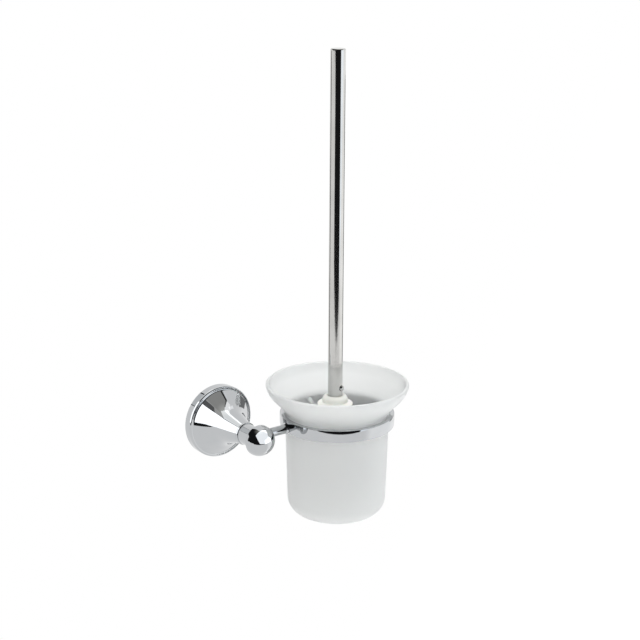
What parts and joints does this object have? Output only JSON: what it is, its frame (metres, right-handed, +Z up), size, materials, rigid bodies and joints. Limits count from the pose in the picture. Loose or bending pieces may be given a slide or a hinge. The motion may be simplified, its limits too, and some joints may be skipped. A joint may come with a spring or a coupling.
{
  "type": "toilet brush holder",
  "caption": "Wall-hung toilet brush holder: conical wall rose, side arm and ring, flared frosted glass cup, and a brush with a slim tube handle.",
  "frame": {"origin": "centre of the wall bracket's back face, on the wall plane", "axes": "+Y into the wall, so the room is on the -Y side; +X along the arm towards the cup; +Z up along the handle"},
  "size_m": [0.1675, 0.1185, 0.3814],
  "materials": {
    "chrome_plate": "polished",
    "zinc_steel": "zinc plated",
    "stainless_steel": "bright drawn",
    "frosted_glass": "acid etched, satin",
    "white_plastic": "moulded, semi-gloss",
    "bristle_nylon": "drawn filament"
  },
  "bodies": {
    "wall_mount": {"wall_bracket": "zinc_steel", "wall_rose": "chrome_plate", "rose_grub_screw": "zinc_steel", "bolt_washer": "zinc_steel", "through_bolt": "zinc_steel", "neck_collar": "chrome_plate", "arm_boss": "chrome_plate", "end_cap": "chrome_plate", "arm_rod": "chrome_plate", "support_ring": "chrome_plate"},
    "cup": {"glass_cup": "frosted_glass"},
    "brush": {"handle_tube": "stainless_steel", "brush_core": "white_plastic", "button_spring": "zinc_steel", "bristle_row_1": "bristle_nylon", "bristle_row_2": "bristle_nylon", "bristle_row_3": "bristle_nylon", "bristle_row_4": "bristle_nylon", "bristle_row_5": "bristle_nylon", "bristle_row_6": "bristle_nylon", "bristle_tip": "bristle_nylon"},
    "button": {"retaining_button": "stainless_steel"}
  },
  "joints": [
    {"name": "cup_lift", "type": "slide", "parent": "wall_mount", "child": "cup", "axis": [0, 0, 1], "range_m": [0, 0.09]},
    {"name": "brush_lift", "type": "slide", "parent": "cup", "child": "brush", "axis": [0, 0, 1], "range_m": [0, 0.115]},
    {"name": "button_press", "type": "slide", "parent": "brush", "child": "button", "axis": [-0.342, 0.9397, 0], "range_m": [0, 0.0027], "stiffness_N_per_m": 300, "springref_m": -0.002}
  ]
}
